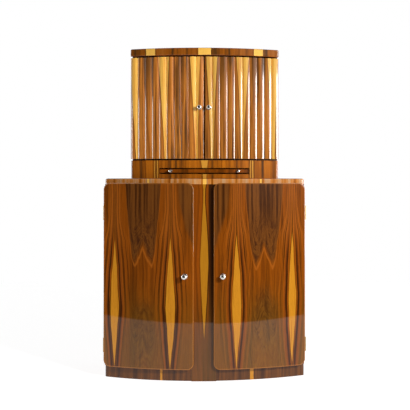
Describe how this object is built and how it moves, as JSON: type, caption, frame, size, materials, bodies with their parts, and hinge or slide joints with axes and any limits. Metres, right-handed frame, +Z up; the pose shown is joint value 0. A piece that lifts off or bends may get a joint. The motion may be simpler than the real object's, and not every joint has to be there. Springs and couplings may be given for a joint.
{
  "type": "bar cabinet",
  "caption": "Bow-fronted bar cabinet: cupboard with hinged doors, waist with a pull-out serving board, and a top cupboard with reeded doors.",
  "frame": {"origin": "on the floor under the plinth's cross rail, midway between the back and the foremost point of the case's bowed face", "axes": "+X to the right seen from the front, +Y to the back, +Z up"},
  "size_m": [1.0254, 0.5105, 1.65],
  "materials": {
    "walnut": "high-gloss lacquer over figured walnut veneer with pale sapwood stripes",
    "inner_wood": "satin lacquer over plain veneer",
    "nickel": "polished nickel plate",
    "brass": "polished, slightly dulled",
    "shelf_glass": "clear with polished edges",
    "mirror": "silvered glass"
  },
  "bodies": {
    "cabinet": {"plinth_front": "walnut", "plinth_left": "walnut", "plinth_right": "walnut", "plinth_back": "inner_wood", "plinth_cross_rail": "inner_wood", "centre_column": "walnut", "lower_base": "walnut", "lower_divider": "inner_wood", "lower_back": "inner_wood", "lower_left_side": "walnut", "lower_right_side": "walnut", "lower_left_shelf": "inner_wood", "lower_right_shelf": "inner_wood", "deck": "walnut", "waist_lower_rail": "walnut", "waist_upper_rail": "walnut", "waist_left_block": "walnut", "waist_right_block": "walnut", "waist_left_side": "walnut", "waist_right_side": "walnut", "waist_back": "inner_wood", "left_runner": "inner_wood", "right_runner": "inner_wood", "upper_base": "walnut", "upper_left_side": "walnut", "upper_right_side": "walnut", "upper_back": "inner_wood", "top_slab": "walnut", "mirror": "mirror", "glass_shelf": "shelf_glass", "shelf_pins": "nickel", "catches": "nickel", "hinge_case_leaves": "brass", "hinge_pins": "brass"},
    "lower_left_door_body": {"lower_left_door": "walnut", "lower_left_knob": "nickel", "lower_left_knob_screw": "nickel", "lower_left_door_leaves": "brass", "lower_left_strike": "nickel"},
    "lower_right_door_body": {"lower_right_door": "walnut", "lower_right_knob": "nickel", "lower_right_knob_screw": "nickel", "lower_right_door_leaves": "brass", "lower_right_strike": "nickel"},
    "upper_left_door_body": {"upper_left_door": "walnut", "upper_left_reeds": "walnut", "upper_left_knob": "nickel", "upper_left_knob_screw": "nickel", "upper_left_door_leaves": "brass", "upper_left_strike": "nickel"},
    "upper_right_door_body": {"upper_right_door": "walnut", "upper_right_reeds": "walnut", "upper_right_knob": "nickel", "upper_right_knob_screw": "nickel", "upper_right_door_leaves": "brass", "upper_right_strike": "nickel"},
    "serving_board_body": {"serving_board": "inner_wood", "board_lipping": "walnut", "board_knobs": "nickel", "board_pegs": "nickel"}
  },
  "joints": [
    {"name": "lower_left_hinge", "type": "hinge", "parent": "cabinet", "child": "lower_left_door_body", "pos_m": [-0.5095, -0.1107, 0.518], "axis": [0, 0, -1], "range_deg": [0, 110]},
    {"name": "lower_right_hinge", "type": "hinge", "parent": "cabinet", "child": "lower_right_door_body", "pos_m": [0.5095, -0.1107, 0.518], "axis": [0, 0, 1], "range_deg": [0, 110]},
    {"name": "upper_left_hinge", "type": "hinge", "parent": "cabinet", "child": "upper_left_door_body", "pos_m": [-0.3685, -0.10051, 1.3515], "axis": [0, 0, -1], "range_deg": [0, 110]},
    {"name": "upper_right_hinge", "type": "hinge", "parent": "cabinet", "child": "upper_right_door_body", "pos_m": [0.3685, -0.10051, 1.3515], "axis": [0, 0, 1], "range_deg": [0, 110]},
    {"name": "serving_board_slide", "type": "slide", "parent": "cabinet", "child": "serving_board_body", "axis": [0, -1, 0], "range_m": [0, 0.24]}
  ]
}
